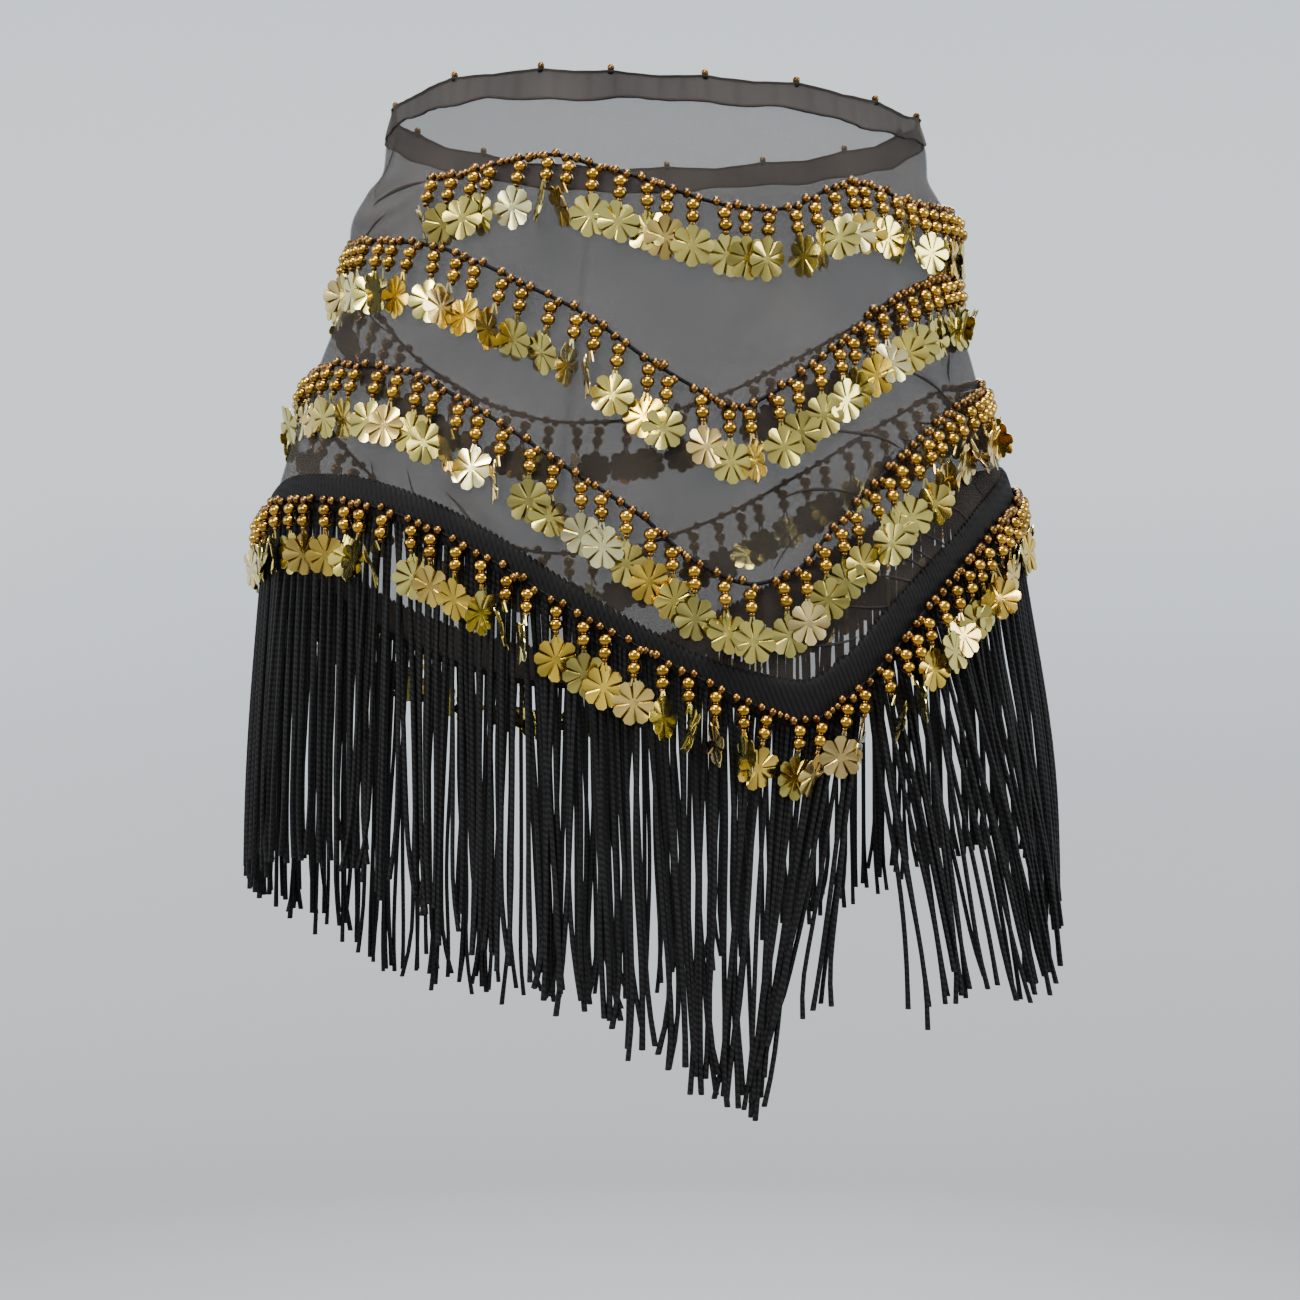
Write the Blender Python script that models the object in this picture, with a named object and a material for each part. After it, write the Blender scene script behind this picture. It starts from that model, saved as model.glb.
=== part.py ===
"""Belly dance hip belt in its worn form: a sheer mesh wrap with a turned hem at the top,
four rows of bead and flower drops, and a braid header with a long fringe.

Metres, +Z up, the front faces -Y. The origin is the middle of the waist opening, at the
level where the wearer holds the belt up. An angle goes round the body from the front
(0 degrees) towards +X, and a height is measured from the origin."""

import math

import bmesh
import bpy
import numpy as np

MM = 0.001

# Layers, measured outwards from the form that the belt is worn on
WALL_THICKNESS = 1.0 * MM
SEAM_GAP = 0.35 * MM
HEM_THICKNESS = 1.0 * MM
HEM_DEPTH = 14.0 * MM
CORD_THICKNESS = 2.2 * MM
CORD_CLEARANCE = 0.55 * MM
BRAID_THICKNESS = 2.5 * MM
BRAID_BELOW_ROW_4 = 5.0 * MM
WALL_BELOW_ROW_4 = 2.0 * MM

# Drops: two gold beads and a flower sequin on one thread
BEAD_DIAMETER = 5.4 * MM
BEAD_NECK = 2.6 * MM
FLOWER_DIAMETER = 18.5 * MM
FLOWER_THICKNESS = 0.8 * MM
DROP_ROOT_WIDTH = 3.0 * MM
DROP_CLEARANCE = 3.4 * MM
ROW_4_CLEARANCE = 5.2 * MM

# Fringe: each lock stands for a few strands
LOCK_COUNT = 112
LOCK_WIDTH = 6.0 * MM
LOCK_TIP_WIDTH = 4.6 * MM
LOCK_THICKNESS = 2.0 * MM
LOCK_LAYER_SHIFT = 1.6 * MM

WALL_COLUMNS = 76
LINE_SAMPLES = 1441
BACK_SEAM_ANGLE = -165.0
FULL_TURN = 360.0
SHARP_EDGE_ANGLE = 40.0

# Sections of the general hip form, in metres
SECTION_COLUMNS = ("height", "half_width", "half_depth", "centre_x")
SECTIONS = (
    (-0.460, 0.1870, 0.1250, 0.000),
    (-0.300, 0.1860, 0.1240, -0.001),
    (-0.250, 0.1830, 0.1230, -0.003),
    (-0.200, 0.1760, 0.1205, -0.005),
    (-0.172, 0.1690, 0.1180, -0.006),
    (-0.149, 0.1620, 0.1150, -0.006),
    (-0.113, 0.1510, 0.1100, -0.004),
    (-0.089, 0.1430, 0.1065, -0.003),
    (-0.054, 0.1350, 0.1015, -0.002),
    (-0.035, 0.1290, 0.0985, -0.001),
    (-0.017, 0.1235, 0.0950, 0.000),
    (0.000, 0.1210, 0.0930, 0.000),
    (0.010, 0.1195, 0.0915, 0.000),
)

# Heights of the sewing lines round the belt, angle in degrees and heights in millimetres
LINE_COLUMNS = ("angle", "hem", "row_1", "row_2", "row_3", "row_4", "braid_top")
LINES = (
    (-165, 1.0, -50, -128.0, -196.0, -262.0, -246.0),
    (-150, 1.0, -50, -121.0, -188.0, -253.0, -237.5),
    (-135, 1.5, -50, -106.0, -172.0, -237.0, -222.5),
    (-115, 2.5, -50, -84.0, -146.0, -210.0, -197.0),
    (-95, 3.5, -48, -66.0, -126.0, -191.0, -179.5),
    (-80, 3.5, -45, -61.0, -120.5, -185.0, -174.0),
    (-65, 3.5, -42, -63.0, -119.5, -180.0, -169.5),
    (-50, 4.5, -40, -68.0, -123.0, -182.0, -171.0),
    (-40, 4.5, -41, -73.0, -127.5, -186.0, -176.0),
    (-30, 3.5, -38, -82.0, -138.5, -195.5, -185.0),
    (-20, 2.0, -36, -93.5, -153.5, -210.5, -199.5),
    (-10, 0.0, -42, -106.0, -172.0, -229.5, -219.0),
    (0, -1.5, -49, -124.5, -192.0, -247.5, -238.0),
    (7, -2.0, -55, -136.0, -211.0, -259.5, -249.5),
    (14, -2.5, -59, -145.5, -219.5, -270.5, -256.5),
    (20, -2.5, -60, -139.0, -214.5, -276.0, -259.5),
    (26, -2.5, -58, -127.5, -198.0, -266.5, -250.5),
    (33, -2.5, -50, -115.0, -180.5, -249.0, -232.0),
    (41, -3.0, -44, -101.0, -164.5, -227.0, -213.5),
    (50, -4.0, -46, -91.0, -150.0, -208.5, -197.0),
    (60, -4.5, -48, -83.0, -139.0, -193.0, -182.0),
    (75, -2.5, -46, -76.0, -128.5, -179.0, -168.5),
    (90, 0.0, -44, -72.0, -121.5, -172.0, -161.5),
    (110, 1.0, -44, -71.0, -120.0, -172.0, -161.0),
    (130, 1.0, -46, -80.0, -132.0, -186.0, -174.5),
    (150, 1.0, -48, -98.0, -155.0, -212.0, -199.5),
    (170, 1.0, -50, -118.0, -181.0, -243.0, -228.5),
    (185, 1.0, -50, -127.0, -194.0, -259.5, -244.0),
)

# Slack cloth that stands off the form above a sewing line, angles in degrees
PUFF_COLUMNS = ("angle", "height", "half_angle", "half_height", "swell")
PUFFS = (
    (-92, -0.010, 30, 0.022, 0.0030),
    (-90, -0.046, 34, 0.022, 0.0065),
    (90, -0.013, 26, 0.020, 0.0030),
    (88, -0.050, 30, 0.024, 0.0058),
    (-125, -0.100, 26, 0.026, 0.0030),
    (128, -0.092, 26, 0.028, 0.0030),
)

# How the fringe hangs: its length, its sideways lean and its outward flare, per metre of drop
FRINGE_COLUMNS = ("angle", "length", "lean", "flare")
FRINGE = (
    (-165, 0.162, 0.00, 0.02),
    (-120, 0.163, 0.00, 0.02),
    (-90, 0.160, 0.00, 0.02),
    (-60, 0.151, -0.03, 0.02),
    (-45, 0.149, -0.02, 0.01),
    (-33, 0.156, 0.00, 0.01),
    (-20, 0.157, 0.02, 0.01),
    (-5, 0.157, 0.07, 0.01),
    (5, 0.160, 0.09, 0.01),
    (12, 0.160, 0.02, 0.01),
    (18, 0.156, -0.06, 0.01),
    (23, 0.130, -0.13, 0.01),
    (27.5, 0.118, -0.18, 0.02),
    (29.5, 0.126, 0.12, 0.03),
    (34, 0.134, 0.22, 0.04),
    (45, 0.162, 0.24, 0.06),
    (60, 0.168, 0.20, 0.09),
    (75, 0.168, 0.12, 0.11),
    (90, 0.168, 0.05, 0.11),
    (120, 0.164, 0.00, 0.06),
    (150, 0.163, 0.00, 0.02),
)

# Rows of drops: where each starts and ends round the belt, how many drops and how long
ROW_COLUMNS = ("name", "start", "end", "drops", "drop_length")
ROWS = (
    ("row_1", -48.0, 95.0, 11, 27 * MM),
    ("row_2", -165.0, 195.0, 25, 32 * MM),
    ("row_3", -165.0, 195.0, 27, 32 * MM),
    ("row_4", -165.0, 195.0, 29, 32 * MM),
)

# Rings of the wall: the lines above and below, and how far down between them each ring lies
RING_COLUMNS = ("upper", "lower", "shares")
WALL_RINGS = (
    ("hem", "row_1", (0.0, 0.35, 0.68)),
    ("row_1", "row_2", (0.0, 0.5)),
    ("row_2", "row_3", (0.0, 0.16, 0.38, 0.68)),
    ("row_3", "row_4", (0.0, 0.33, 0.67, 1.0)),
)

# Rings down one drop: share of its length, width and thickness
DROP_COLUMNS = ("share", "width", "thickness")
DROP_RINGS = (
    (0.11, BEAD_DIAMETER, BEAD_DIAMETER),
    (0.20, BEAD_NECK, BEAD_NECK),
    (0.30, BEAD_DIAMETER, BEAD_DIAMETER),
    (0.43, BEAD_NECK, FLOWER_THICKNESS),
    (0.55, 0.80 * FLOWER_DIAMETER, FLOWER_THICKNESS),
    (0.75, FLOWER_DIAMETER, FLOWER_THICKNESS),
    (1.00, 0.55 * FLOWER_DIAMETER, FLOWER_THICKNESS),
)

LOCK_SHARES = (0.12, 0.55, 1.0)

# Material: colour, roughness and metallic value
FINISHES = {
    "sheer_mesh": ((0.030, 0.028, 0.030), 0.75, 0.0),
    "hem_mesh": ((0.020, 0.018, 0.020), 0.75, 0.0),
    "gold_drops": ((0.720, 0.480, 0.100), 0.28, 1.0),
    "fringe_black": ((0.010, 0.010, 0.012), 0.60, 0.0),
}


def column(table, names, wanted):
    """One named column of a table, as an array."""
    place = names.index(wanted)
    return np.array([row[place] for row in table], float)


def named_rows(table, names):
    """A table's rows, each as a dictionary by column name."""
    return [dict(zip(names, row)) for row in table]


def knot_slopes(knots, values):
    """Slopes at a table's knots that let a cubic pass through them without overshooting."""
    steps = np.diff(knots)
    rises = np.diff(values) / steps
    before, after = rises[:-1], rises[1:]
    turning = before * after <= 0
    safe_before = np.where(turning, 1.0, before)
    safe_after = np.where(turning, 1.0, after)
    weight_a = 2 * steps[1:] + steps[:-1]
    weight_b = steps[1:] + 2 * steps[:-1]
    middle = (weight_a + weight_b) / (weight_a / safe_before + weight_b / safe_after)
    return np.concatenate([[rises[0]], np.where(turning, 0.0, middle), [rises[-1]]])


def smooth(knots, values, at):
    """The cubic curve through a table's knots, read at any places."""
    slopes = knot_slopes(knots, values)
    at = np.clip(at, knots[0], knots[-1])
    place = np.clip(np.searchsorted(knots, at, side="right") - 1, 0, len(knots) - 2)
    step = knots[place + 1] - knots[place]
    t = (at - knots[place]) / step
    start_share = (1 + 2 * t) * (1 - t) ** 2
    end_share = t * t * (3 - 2 * t)
    start_slope = t * (1 - t) ** 2 * step
    end_slope = t * t * (t - 1) * step
    return (
        start_share * values[place]
        + end_share * values[place + 1]
        + start_slope * slopes[place]
        + end_slope * slopes[place + 1]
    )


def round_the_body(table, names, wanted, angle):
    """A column of a table that runs once round the body, read at any angle."""
    knots = column(table, names, "angle")
    values = column(table, names, wanted)
    knots = np.concatenate([knots - FULL_TURN, knots, knots + FULL_TURN])
    values = np.tile(values, 3)
    return smooth(knots, values, np.asarray(angle, float))


def line_height(name, angle):
    """Height of a sewing line at an angle."""
    return round_the_body(LINES, LINE_COLUMNS, name, angle) * MM


def bump(distance, reach):
    """1 at the middle of a soft swelling, falling to 0 at its reach."""
    share = np.clip(np.abs(distance) / reach, 0, 1)
    return (1 - share * share) ** 2


def slack(angle, height):
    """How far the cloth stands off the form."""
    total = np.zeros(np.broadcast(angle, height).shape)
    for puff in named_rows(PUFFS, PUFF_COLUMNS):
        turn = (angle - puff["angle"] + FULL_TURN / 2) % FULL_TURN - FULL_TURN / 2
        across = bump(turn, puff["half_angle"])
        total = total + puff["swell"] * across * bump(height - puff["height"], puff["half_height"])
    return total


def section_value(name, height):
    """One size of the hip form's section at a height."""
    return smooth(
        column(SECTIONS, SECTION_COLUMNS, "height"),
        column(SECTIONS, SECTION_COLUMNS, name),
        np.asarray(height, float),
    )


def outward(angle, height):
    """Unit vector that points straight out of the hip form."""
    turn = np.radians(angle)
    x = np.sin(turn) / section_value("half_width", height)
    y = -np.cos(turn) / section_value("half_depth", height)
    size = np.hypot(x, y)
    return np.stack([x / size, y / size, np.zeros(np.shape(size))], axis=-1)


def sideways(angle, height):
    """Unit vector along the form, level, towards greater angles."""
    out = outward(angle, height)
    return np.stack([-out[..., 1], out[..., 0], out[..., 2]], axis=-1)


def on_form(angle, height, out):
    """The point that lies out from the cloth's inner face at an angle and a height."""
    angle, height = np.broadcast_arrays(np.asarray(angle, float), np.asarray(height, float))
    turn = np.radians(angle)
    x = section_value("centre_x", height) + section_value("half_width", height) * np.sin(turn)
    y = -section_value("half_depth", height) * np.cos(turn)
    base = np.stack([x, y, height], axis=-1)
    distance = slack(angle, height) + out
    return base + outward(angle, height) * np.asarray(distance)[..., None]


def finish(name):
    """The material of that name."""
    colour, roughness, metallic = FINISHES[name]
    material = bpy.data.materials.new(name)
    material.use_nodes = True
    shader = material.node_tree.nodes["Principled BSDF"]
    shader.inputs["Base Color"].default_value = (*colour, 1.0)
    shader.inputs["Roughness"].default_value = roughness
    shader.inputs["Metallic"].default_value = metallic
    return material


def make_piece(name, points, faces, finish_name):
    """A named object from points and faces, its normals facing out."""
    mesh = bpy.data.meshes.new(name)
    mesh.from_pydata([tuple(p) for p in points], [], faces)
    shape = bmesh.new()
    shape.from_mesh(mesh)
    bmesh.ops.recalc_face_normals(shape, faces=shape.faces)
    shape.to_mesh(mesh)
    shape.free()
    mesh.shade_smooth()
    mesh.set_sharp_from_angle(angle=math.radians(SHARP_EDGE_ANGLE))
    piece = bpy.data.objects.new(name, mesh)
    piece.data.materials.append(finish(finish_name))
    bpy.context.scene.collection.objects.link(piece)
    return piece


def tube_wall(name, inner, outer, finish_name):
    """A wall that runs once round the body, from its inner and outer grids of points."""
    rows, columns = inner.shape[:2]
    points = np.concatenate([inner.reshape(-1, 3), outer.reshape(-1, 3)])
    first_outer = rows * columns
    faces = []
    for row in range(rows - 1):
        for col in range(columns):
            beside = (col + 1) % columns
            a, b = row * columns + col, row * columns + beside
            c, d = a + columns, b + columns
            faces.append((a, b, d, c))
            faces.append((first_outer + a, first_outer + c, first_outer + d, first_outer + b))
    for row in (0, rows - 1):
        for col in range(columns):
            a = row * columns + col
            b = row * columns + (col + 1) % columns
            rim = (a, b, first_outer + b, first_outer + a)
            faces.append(rim if row else rim[::-1])
    return make_piece(name, points, faces, finish_name)


def make_mesh_wrap():
    """The sheer mesh, from its top fold to its lower edge behind the braid."""
    angle = BACK_SEAM_ANGLE + FULL_TURN * np.arange(WALL_COLUMNS) / WALL_COLUMNS
    height = []
    for rings in named_rows(WALL_RINGS, RING_COLUMNS):
        top, bottom = line_height(rings["upper"], angle), line_height(rings["lower"], angle)
        height += [top + (bottom - top) * share for share in rings["shares"]]
    height = np.stack(height)
    height[-1] -= WALL_BELOW_ROW_4
    inner = on_form(angle[None, :], height, 0.0)
    outer = on_form(angle[None, :], height, WALL_THICKNESS)
    return tube_wall("mesh_wrap", inner, outer, "sheer_mesh")


def make_top_hem():
    """The mesh turned over at the top edge, a second layer on the outside."""
    angle = BACK_SEAM_ANGLE + FULL_TURN * np.arange(WALL_COLUMNS) / WALL_COLUMNS
    top = line_height("hem", angle)
    height = np.stack([top, top - HEM_DEPTH])
    start = WALL_THICKNESS + SEAM_GAP
    inner = on_form(angle[None, :], height, start)
    outer = on_form(angle[None, :], height, start + HEM_THICKNESS)
    return tube_wall("top_hem", inner, outer, "hem_mesh")


def line_angles(name, start, end, distances_share):
    """Angles that lie at given shares of a sewing line's own length, from start to end."""
    angle = np.linspace(start, end, LINE_SAMPLES)
    points = on_form(angle, line_height(name, angle), 0.0)
    length = np.concatenate([[0], np.cumsum(np.linalg.norm(np.diff(points, axis=0), axis=1))])
    return np.interp(distances_share * length[-1], length, angle), length[-1]


def stations_along(name, start, end, count, root_width, gap_parts):
    """Angles of a strip's stations: a pair for each strand's root and gap_parts - 1 between."""
    length = line_angles(name, start, end, np.array([1.0]))[1]
    pitch = 1 / count
    root = root_width / length
    shares, is_root = [], []
    for strand in range(count):
        left = (strand + 0.5) * pitch - root / 2
        shares += [left, left + root]
        is_root += [True, False]
        for part in range(1, gap_parts):
            shares.append(left + root + (pitch - root) * part / gap_parts)
            is_root.append(False)
    shares = np.array(shares)
    closed = end - start >= FULL_TURN
    if not closed:  # a short stretch of cord stays free at each end
        shares = np.concatenate([[0.0], shares[:-1] if gap_parts > 1 else shares, [1.0]])
        is_root = [False] + (is_root[:-1] if gap_parts > 1 else is_root) + [False]
    shares = np.where(shares > 1, shares - 1, shares) if closed else shares
    return line_angles(name, start, end, shares)[0], is_root, closed


def strip_with_strands(name, corners, is_root, closed, rings_of, finish_name):
    """A closed strip along a line whose underside runs out into strands, in one surface.

    corners is the strip's section at each station, as inner top, outer top, outer bottom
    and inner bottom. rings_of gives the rings of the strand that starts at a station."""
    count = len(corners)
    points = list(corners.reshape(-1, 3))
    faces = []
    last = count if closed else count - 1
    for station in range(last):
        beside = (station + 1) % count
        near = [4 * station + k for k in range(4)]
        far = [4 * beside + k for k in range(4)]
        for side in range(4):
            turn = (side + 1) % 4
            if side == 2 and is_root[station]:
                continue
            faces.append((near[side], near[turn], far[turn], far[side]))
        if is_root[station]:
            loop = [near[3], near[2], far[2], far[3]]
            for ring in rings_of(station, beside):
                start = len(points)
                points += list(ring)
                new = [start + k for k in range(4)]
                for side in range(4):
                    turn = (side + 1) % 4
                    faces.append((loop[side], loop[turn], new[turn], new[side]))
                loop = new
            faces.append(tuple(loop))
    if not closed:
        faces.append((0, 1, 2, 3))
        faces.append(tuple(4 * (count - 1) + k for k in (3, 2, 1, 0)))
    return make_piece(name, points, faces, finish_name)


def ring_round(middle, across, out, width, thickness):
    """Four corners round a point: inner and outer on the left, outer and inner on the right."""
    side, depth = across * width / 2, out * thickness / 2
    return [middle - side - depth, middle - side + depth, middle + side + depth, middle + side - depth]


def hanging(angle, line, out, fall):
    """The point where something that hangs free from a line lies, at a fall below it."""
    length, lean, flare = (
        round_the_body(FRINGE, FRINGE_COLUMNS, wanted, angle) for wanted in FRINGE_COLUMNS[1:]
    )
    level = line_height(line, angle)
    away = outward(angle, level) * (flare * fall * fall / length)
    along = sideways(angle, level) * (lean * fall)
    return on_form(angle, level, out) + away + along - np.array([0.0, 0.0, fall])


def make_row(name, start, end, drops, drop_length):
    """A cord sewn along a line, with its drops. The last row lies on the braid and hangs free."""
    on_braid = name == "row_4"
    base = WALL_THICKNESS + (SEAM_GAP + BRAID_THICKNESS if on_braid else 0)
    clearance = ROW_4_CLEARANCE if on_braid else DROP_CLEARANCE
    angle, is_root, closed = stations_along(name, start, end, drops, DROP_ROOT_WIDTH, 2)
    height = line_height(name, angle)
    half = CORD_THICKNESS / 2
    near = base + CORD_CLEARANCE
    far = near + CORD_THICKNESS
    corners = np.stack(
        [
            on_form(angle, height + half, near),
            on_form(angle, height + half, far),
            on_form(angle, height - half, far),
            on_form(angle, height - half, near),
        ],
        axis=1,
    )

    def drop_rings(station, beside):
        place = (angle[station] + angle[beside]) / 2
        top = line_height(name, place)
        out, across = outward(place, top), sideways(place, top)
        rings = []
        for ring in named_rows(DROP_RINGS, DROP_COLUMNS):
            fall = half + ring["share"] * drop_length
            if on_braid:
                middle = hanging(place, name, base + clearance, fall)
            else:
                middle = on_form(place, top - fall, base + clearance)
            rings.append(ring_round(middle, across, out, ring["width"], ring["thickness"]))
        return rings

    return strip_with_strands(name + "_drops", corners, is_root, closed, drop_rings, "gold_drops")


def make_fringe_trim():
    """The braid header along the lower edge, with the fringe that hangs from it."""
    start, end = BACK_SEAM_ANGLE, BACK_SEAM_ANGLE + FULL_TURN
    angle, is_root, closed = stations_along("row_4", start, end, LOCK_COUNT, LOCK_WIDTH, 1)
    top = line_height("braid_top", angle)
    bottom = line_height("row_4", angle) - BRAID_BELOW_ROW_4
    near = WALL_THICKNESS + SEAM_GAP
    far = near + BRAID_THICKNESS
    corners = np.stack(
        [
            on_form(angle, top, near),
            on_form(angle, top, far),
            on_form(angle, bottom, far),
            on_form(angle, bottom, near),
        ],
        axis=1,
    )

    def lock_rings(station, beside):
        place = (angle[station] + angle[beside]) / 2
        level = line_height("row_4", place)
        out, across = outward(place, level), sideways(place, level)
        length = round_the_body(FRINGE, FRINGE_COLUMNS, "length", place)
        layer = LOCK_LAYER_SHIFT * (1 if (station // 2) % 2 else -1)
        rings = []
        for share in LOCK_SHARES:
            fall = BRAID_BELOW_ROW_4 + length * share
            middle = hanging(place, "row_4", near + BRAID_THICKNESS / 2 + layer, fall)
            width = LOCK_WIDTH + (LOCK_TIP_WIDTH - LOCK_WIDTH) * share
            rings.append(ring_round(middle, across, out, width, LOCK_THICKNESS))
        return rings

    return strip_with_strands("fringe_trim", corners, is_root, closed, lock_rings, "fringe_black")


def clear_scene():
    """Removes what the start-up file holds."""
    for old in list(bpy.data.objects):
        bpy.data.objects.remove(old)


def main():
    clear_scene()
    make_mesh_wrap()
    make_top_hem()
    for row in named_rows(ROWS, ROW_COLUMNS):
        make_row(**row)
    make_fringe_trim()


main()
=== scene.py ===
# Belly dance hip belt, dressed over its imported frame: sheer mesh, gold drops, braid and fringe
import math

import bpy
import numpy as np
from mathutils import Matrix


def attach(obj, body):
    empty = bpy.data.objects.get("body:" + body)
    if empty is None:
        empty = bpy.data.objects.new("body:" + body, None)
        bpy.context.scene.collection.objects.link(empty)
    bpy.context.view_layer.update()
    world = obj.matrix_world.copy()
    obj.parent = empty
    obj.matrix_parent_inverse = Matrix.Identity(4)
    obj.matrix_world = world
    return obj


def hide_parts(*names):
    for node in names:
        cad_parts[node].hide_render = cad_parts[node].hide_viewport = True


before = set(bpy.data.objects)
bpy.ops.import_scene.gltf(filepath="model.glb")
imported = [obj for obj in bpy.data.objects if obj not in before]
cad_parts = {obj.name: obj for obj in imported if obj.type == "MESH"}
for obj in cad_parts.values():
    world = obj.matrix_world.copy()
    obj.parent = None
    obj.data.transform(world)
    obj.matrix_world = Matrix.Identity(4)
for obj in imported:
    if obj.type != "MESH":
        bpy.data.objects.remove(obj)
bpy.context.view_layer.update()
print("frame loaded:", sorted(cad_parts))

# The shape it hangs in
mm = 0.001
backSeam = -165.0  # degrees, where the tube is joined
allRound = (backSeam, backSeam + 360)
form = {
    # level, half width, half depth, middle in x (metres)
    "sections": (
        (-0.460, 0.1870, 0.1250, 0.000),
        (-0.300, 0.1860, 0.1240, -0.001),
        (-0.250, 0.1830, 0.1230, -0.003),
        (-0.200, 0.1760, 0.1205, -0.005),
        (-0.172, 0.1690, 0.1180, -0.006),
        (-0.149, 0.1620, 0.1150, -0.006),
        (-0.113, 0.1510, 0.1100, -0.004),
        (-0.089, 0.1430, 0.1065, -0.003),
        (-0.054, 0.1350, 0.1015, -0.002),
        (-0.035, 0.1290, 0.0985, -0.001),
        (-0.017, 0.1235, 0.0950, 0.000),
        (0.000, 0.1210, 0.0930, 0.000),
        (0.010, 0.1195, 0.0915, 0.000),
    ),
    # angle in degrees, then the level of each sewn line in mm
    "lineNames": ("hem", "row1", "row2", "row3", "row4", "braidTop"),
    "lines": (
        (-165, 1.0, -50, -128.0, -196.0, -262.0, -246.0),
        (-150, 1.0, -50, -121.0, -188.0, -253.0, -237.5),
        (-135, 1.5, -50, -106.0, -172.0, -237.0, -222.5),
        (-115, 2.5, -50, -84.0, -146.0, -210.0, -197.0),
        (-95, 3.5, -48, -66.0, -126.0, -191.0, -179.5),
        (-80, 3.5, -45, -61.0, -120.5, -185.0, -174.0),
        (-65, 3.5, -42, -63.0, -119.5, -180.0, -169.5),
        (-50, 4.5, -40, -68.0, -123.0, -182.0, -171.0),
        (-40, 4.5, -41, -73.0, -127.5, -186.0, -176.0),
        (-30, 3.5, -38, -82.0, -138.5, -195.5, -185.0),
        (-20, 2.0, -36, -93.5, -153.5, -210.5, -199.5),
        (-10, 0.0, -42, -106.0, -172.0, -229.5, -219.0),
        (0, -1.5, -49, -124.5, -192.0, -247.5, -238.0),
        (7, -2.0, -55, -136.0, -211.0, -259.5, -249.5),
        (14, -2.5, -59, -145.5, -219.5, -270.5, -256.5),
        (20, -2.5, -60, -139.0, -214.5, -276.0, -259.5),
        (26, -2.5, -58, -127.5, -198.0, -266.5, -250.5),
        (33, -2.5, -50, -115.0, -180.5, -249.0, -232.0),
        (41, -3.0, -44, -101.0, -164.5, -227.0, -213.5),
        (50, -4.0, -46, -91.0, -150.0, -208.5, -197.0),
        (60, -4.5, -48, -83.0, -139.0, -193.0, -182.0),
        (75, -2.5, -46, -76.0, -128.5, -179.0, -168.5),
        (90, 0.0, -44, -72.0, -121.5, -172.0, -161.5),
        (110, 1.0, -44, -71.0, -120.0, -172.0, -161.0),
        (130, 1.0, -46, -80.0, -132.0, -186.0, -174.5),
        (150, 1.0, -48, -98.0, -155.0, -212.0, -199.5),
        (170, 1.0, -50, -118.0, -181.0, -243.0, -228.5),
        (185, 1.0, -50, -127.0, -194.0, -259.5, -244.0),
    ),
    # slack cloth: angle, level, half angle, half height, swell
    "puffs": (
        (-92, -0.010, 30, 0.022, 0.0030),
        (-90, -0.046, 34, 0.022, 0.0065),
        (90, -0.013, 26, 0.020, 0.0030),
        (88, -0.050, 30, 0.024, 0.0058),
        (-125, -0.100, 26, 0.026, 0.0030),
        (128, -0.092, 26, 0.028, 0.0030),
    ),
}
sections = np.array(form["sections"])
lines = np.array(form["lines"], float)


def smoothRead(knots, values, at):
    # Cubic through the knots, each knot's slope the weighted harmonic mean of the rises beside it
    step = np.diff(knots)
    rise = np.diff(values) / step
    before, after = rise[:-1], rise[1:]
    turns = before * after <= 0
    wa, wb = 2 * step[1:] + step[:-1], step[1:] + 2 * step[:-1]
    mid = (wa + wb) / (wa / np.where(turns, 1, before) + wb / np.where(turns, 1, after))
    slope = np.concatenate([[rise[0]], np.where(turns, 0, mid), [rise[-1]]])
    at = np.clip(at, knots[0], knots[-1])
    k = np.clip(np.searchsorted(knots, at, side="right") - 1, 0, len(knots) - 2)
    h = step[k]
    t = (at - knots[k]) / h
    return ((1 + 2 * t) * (1 - t) ** 2 * values[k] + t * t * (3 - 2 * t) * values[k + 1]
            + t * (1 - t) ** 2 * h * slope[k] + t * t * (t - 1) * h * slope[k + 1])


def roundRead(table, column, angle):
    # A column of a table that runs once round the belt, its knots repeated a turn each way
    knots = np.concatenate([table[:, 0] - 360, table[:, 0], table[:, 0] + 360])
    return smoothRead(knots, np.tile(table[:, column], 3), np.asarray(angle, float))


def lineLevel(name, angle):
    # Level of a sewn line: its own column of the lines, read round the belt
    return roundRead(lines, 1 + form["lineNames"].index(name), angle) * mm


def sectionAt(column, level):
    # Half width, half depth or middle of the ellipse: a column of the sections, read at a level
    return smoothRead(sections[:, 0], sections[:, column], np.asarray(level, float))


def unit(along):
    # Vectors divided by their own lengths
    return along / np.linalg.norm(along, axis=-1, keepdims=True)


def outOf(angle, level):
    # Unit normal of the ellipse section: (sin/a, -cos/b), level
    turn = np.radians(angle)
    x, y = np.sin(turn) / sectionAt(1, level), -np.cos(turn) / sectionAt(2, level)
    return unit(np.stack([x, y, 0 * x], -1))


def alongOf(angle, level):
    # The normal turned a quarter round, towards greater angles
    out = outOf(angle, level)
    return np.stack([-out[..., 1], out[..., 0], out[..., 2]], -1)


def slackAt(angle, level):
    # Sum of soft bumps (1 - d^2)^2 in angle times the same in level
    total = np.zeros(np.broadcast(angle, level).shape)
    for middle, height, halfAngle, halfHeight, swell in form["puffs"]:
        turn = (angle - middle + 180) % 360 - 180
        across = (1 - np.clip(np.abs(turn) / halfAngle, 0, 1) ** 2) ** 2
        down = (1 - np.clip(np.abs(level - height) / halfHeight, 0, 1) ** 2) ** 2
        total = total + swell * across * down
    return total


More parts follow.
